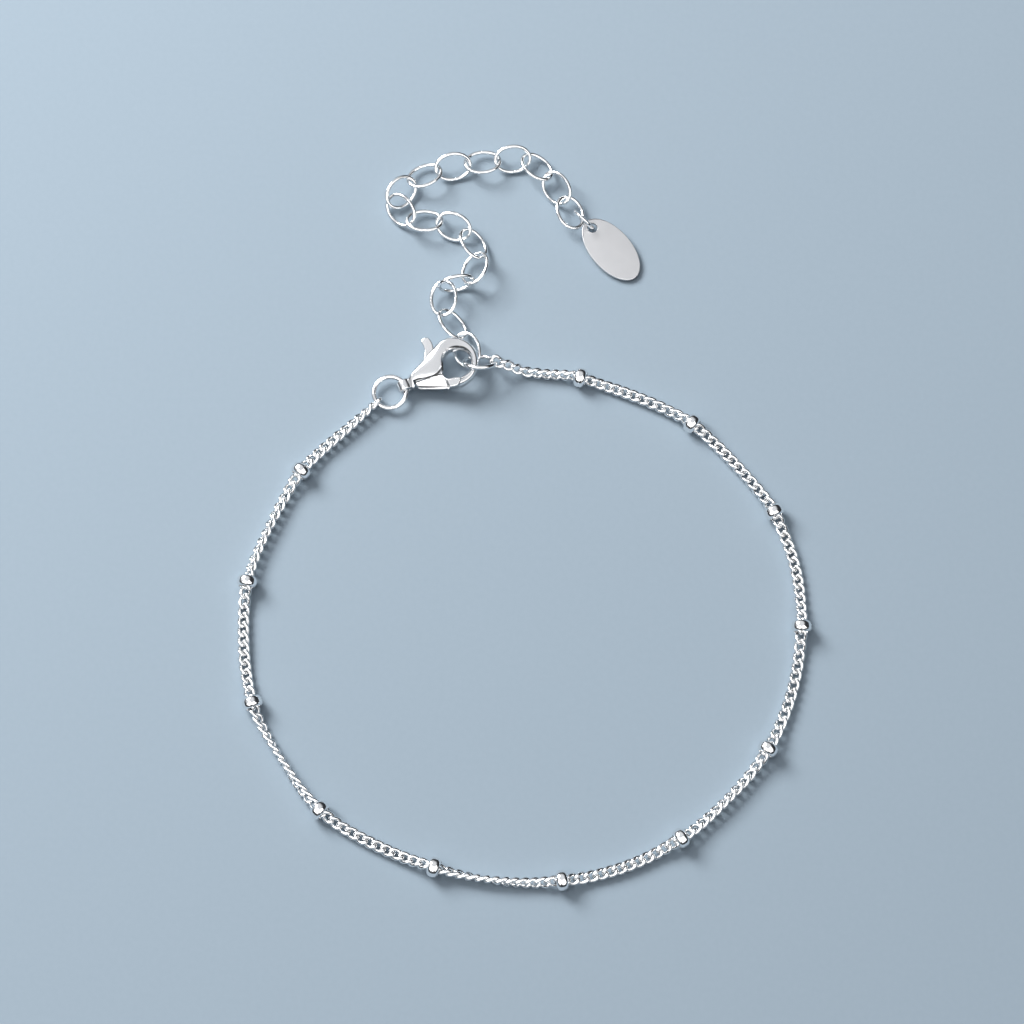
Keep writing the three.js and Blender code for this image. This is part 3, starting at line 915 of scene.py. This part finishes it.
def lever_top(points):
    """How far the lever's faces come in from its full thickness: under the seam, and down the cheek."""
    x, y = points[:, 0], points[:, 1]
    seam = SEAM_LINE[0] + SEAM_LINE[1] * x
    foot = CHEEK_FOOT[0] + CHEEK_FOOT[1] * x
    below = np.clip((seam - y) / (seam - foot), 0, 1)
    slope = (1 - LEVER_CURL) * below + LEVER_CURL * below ** LEVER_CURL_POWER
    cheek = LEVER_FALL * slope * (1 - ease(x, *GATE_STEP))
    return cheek + SEAM_GROOVE * ease(y - seam, *SEAM_BANK) * (1 - ease(y, *TAB_ROOT))


def points_inside(border):
    """The points of a fine grid that are inside a closed outline and clear of it."""
    low, high = border.min(axis=0), border.max(axis=0)
    columns = np.arange(low[0], high[0], LEVER_GRID)
    rows = np.arange(low[1], high[1], LEVER_GRID)
    cells = np.stack(np.meshgrid(columns, rows), axis=-1).reshape(-1, 2)
    gap = np.linalg.norm(cells[:, None] - border[None], axis=2).min(axis=1)
    inside = np.zeros(len(cells), bool)
    for (x1, y1), (x2, y2) in zip(border, np.roll(border, -1, axis=0)):
        crosses = (y1 > cells[:, 1]) != (y2 > cells[:, 1])
        with np.errstate(divide="ignore", invalid="ignore"):
            inside ^= crosses & (cells[:, 0] < (x2 - x1) * (cells[:, 1] - y1) / (y2 - y1) + x1)
    return cells[inside & (gap > LEVER_GRID_CLEAR * LEVER_GRID)]


def lever_blank():
    """The lever before its rivet hole is drilled: rounded edges, a face on a grid, and both again below."""
    spans = smooth_curve(LEVER_EDGE, LEVER_EDGE_STEPS, True)
    outline = even_points(np.vstack([span[:-1] for span in spans]), LEVER_EDGE_POINTS, True)
    count = len(outline)
    layers = []
    for turn in np.linspace(0, np.pi / 2, LEVER_ROUND_ROWS):
        loop = inset(outline, LEVER_ROUND * (1 - math.cos(turn)))
        height = LEVER_HALF - lever_top(loop) - LEVER_ROUND * (1 - math.sin(turn))
        layers.append(np.column_stack((loop, height)))
    border = inset(outline, LEVER_ROUND + LEVER_MARGIN)
    flat = [Vector(point) for point in np.vstack((border, points_inside(border)))]
    found = delaunay_2d_cdt(flat, [], [list(range(count))], 1, SAME_POINT)
    plan = np.array([tuple(point) for point in found[0]])
    start = count * len(layers)
    loops = [list(range(first, first + count)) for first in range(0, start, count)]
    loops.append([start + int(np.argmin(np.linalg.norm(plan - point, axis=1))) for point in border])
    layers.append(np.column_stack((plan, LEVER_HALF - lever_top(plan))))
    upper = np.vstack(layers)
    faces = []
    for outer, inner in zip(loops, loops[1:]):
        for i in range(count):
            j = (i + 1) % count
            faces.append((outer[i], outer[j], inner[j], inner[i]))
    faces += [tuple(start + corner for corner in face) for face in found[2]]
    total = len(upper)
    flipped = [tuple(total + corner for corner in face)[::-1] for face in faces]
    wall = [(i, total + i, total + (i + 1) % count, (i + 1) % count) for i in range(count)]
    return np.vstack((upper, upper * (1, 1, -1))), faces + flipped + wall


def lever_plate(lie, material):
    """The lever: a rounded plate with a sloped cheek, its thumb tab and the gate that shuts the hook."""
    points, faces = carve(lever_blank(), pin_block(PIN_HOLE, DRILL_HALF), "DIFFERENCE")
    mesh = new_mesh("clasp_gate", set_down(points, lie), faces)
    mesh.set_sharp_from_angle(angle=math.radians(LEVER_CREASE))
    new_piece("clasp_gate", mesh, material, LEVER, POLISHED, "clasp_lever")


def soft_light(softbox):
    """A rectangular softbox that faces the bracelet."""
    lamp = bpy.data.lights.new(softbox.name, "AREA")
    lamp.shape = "RECTANGLE"
    lamp.size, lamp.size_y = softbox.size
    lamp.energy = softbox.power
    box = bpy.data.objects.new(softbox.name, lamp)
    box.location = softbox.place
    box.rotation_euler = (-Vector(softbox.place)).to_track_quat("-Z", "Y").to_euler()
    box.visible_diffuse = softbox.on_floor
    bpy.context.scene.collection.objects.link(box)


def light_tent():
    """Soft light from a tent above and to the left, falling off to a dark room at the sides."""
    paint = Paint(bpy.data.worlds.new("light tent"))
    way = paint.value("ShaderNodeTexCoord", {}, {}, "Generated")
    sockets = {0: way, 1: TENT_MIDDLE}
    toward = paint.value("ShaderNodeVectorMath", {"operation": "DOT_PRODUCT"}, sockets, "Value")
    tone = paint.mix(paint.ramp(toward, TENT_EDGE, TENT_FULL), ROOM_TONE, TENT_TONE)
    light = paint.value("ShaderNodeBackground", {}, {"Color": tone})
    paint.add("ShaderNodeOutputWorld", {}, {"Surface": light})
    return paint.owner


def pale_floor():
    """A plain square of floor under the bracelet."""
    points = [(FLOOR_HALF * across, FLOOR_HALF * away, 0) for across, away in FLOOR_CORNERS]
    mesh = new_mesh("floor", points, [range(len(points))])
    mesh.materials.append(floor_paper())
    floor = bpy.data.objects.new("floor", mesh)
    bpy.context.scene.collection.objects.link(floor)


def view_camera():
    """The camera at the photograph's angle."""
    lens = bpy.data.cameras.new("camera")
    lens.lens = VIEW_LENS
    lens.sensor_width = VIEW_SENSOR
    lens.clip_start = VIEW_NEAR
    camera = bpy.data.objects.new("camera", lens)
    tilt = math.radians(VIEW_ELEVATION)
    back_off = Vector((0, -math.cos(tilt), math.sin(tilt)))
    camera.location = Vector(VIEW_TARGET) + VIEW_DISTANCE * back_off
    camera.rotation_euler = (-back_off).to_track_quat("-Z", "Y").to_euler()
    bpy.context.scene.collection.objects.link(camera)
    return camera


pale_floor()
for softbox in SOFTBOXES:
    soft_light(softbox)
bpy.context.scene.world = light_tent()
bpy.context.scene.camera = view_camera()
bpy.context.scene.view_settings.view_transform = "Standard"

ring_silver = wire_silver("drawn wire silver", RING_POLISH)
chain_silver = wire_silver("curb chain silver", CHAIN_POLISH)
shell_silver = bead_silver()
cast_silver = clasp_silver()

curb_chain(chain_silver)
for number in range(1, BEADS + 1):
    bead_shell(number, shell_silver)
for number in range(1, EXTENDER_LINKS + 1):
    seam = EXTENDER_SEAMS[number % 2]
    bent_wire(f"extender_wire_{number:02d}", f"extender_link_{number:02d}", EXTENDER_LINK, seam, ring_silver)
bent_wire("jump_ring_wire", "jump_ring", JUMP_RING, JUMP_RING_SEAM, ring_silver)
bent_wire("end_ring_wire", "end_ring", END_RING, END_RING_SEAM, ring_silver)
bent_wire("tag_ring_wire", "tag_ring", TAG_RING, TAG_RING_SEAM, ring_silver)
tag_plate(tag_silver())
clasp = clasp_lie()
clasp_body(clasp, cast_silver)
lever_plate(clasp, cast_silver)
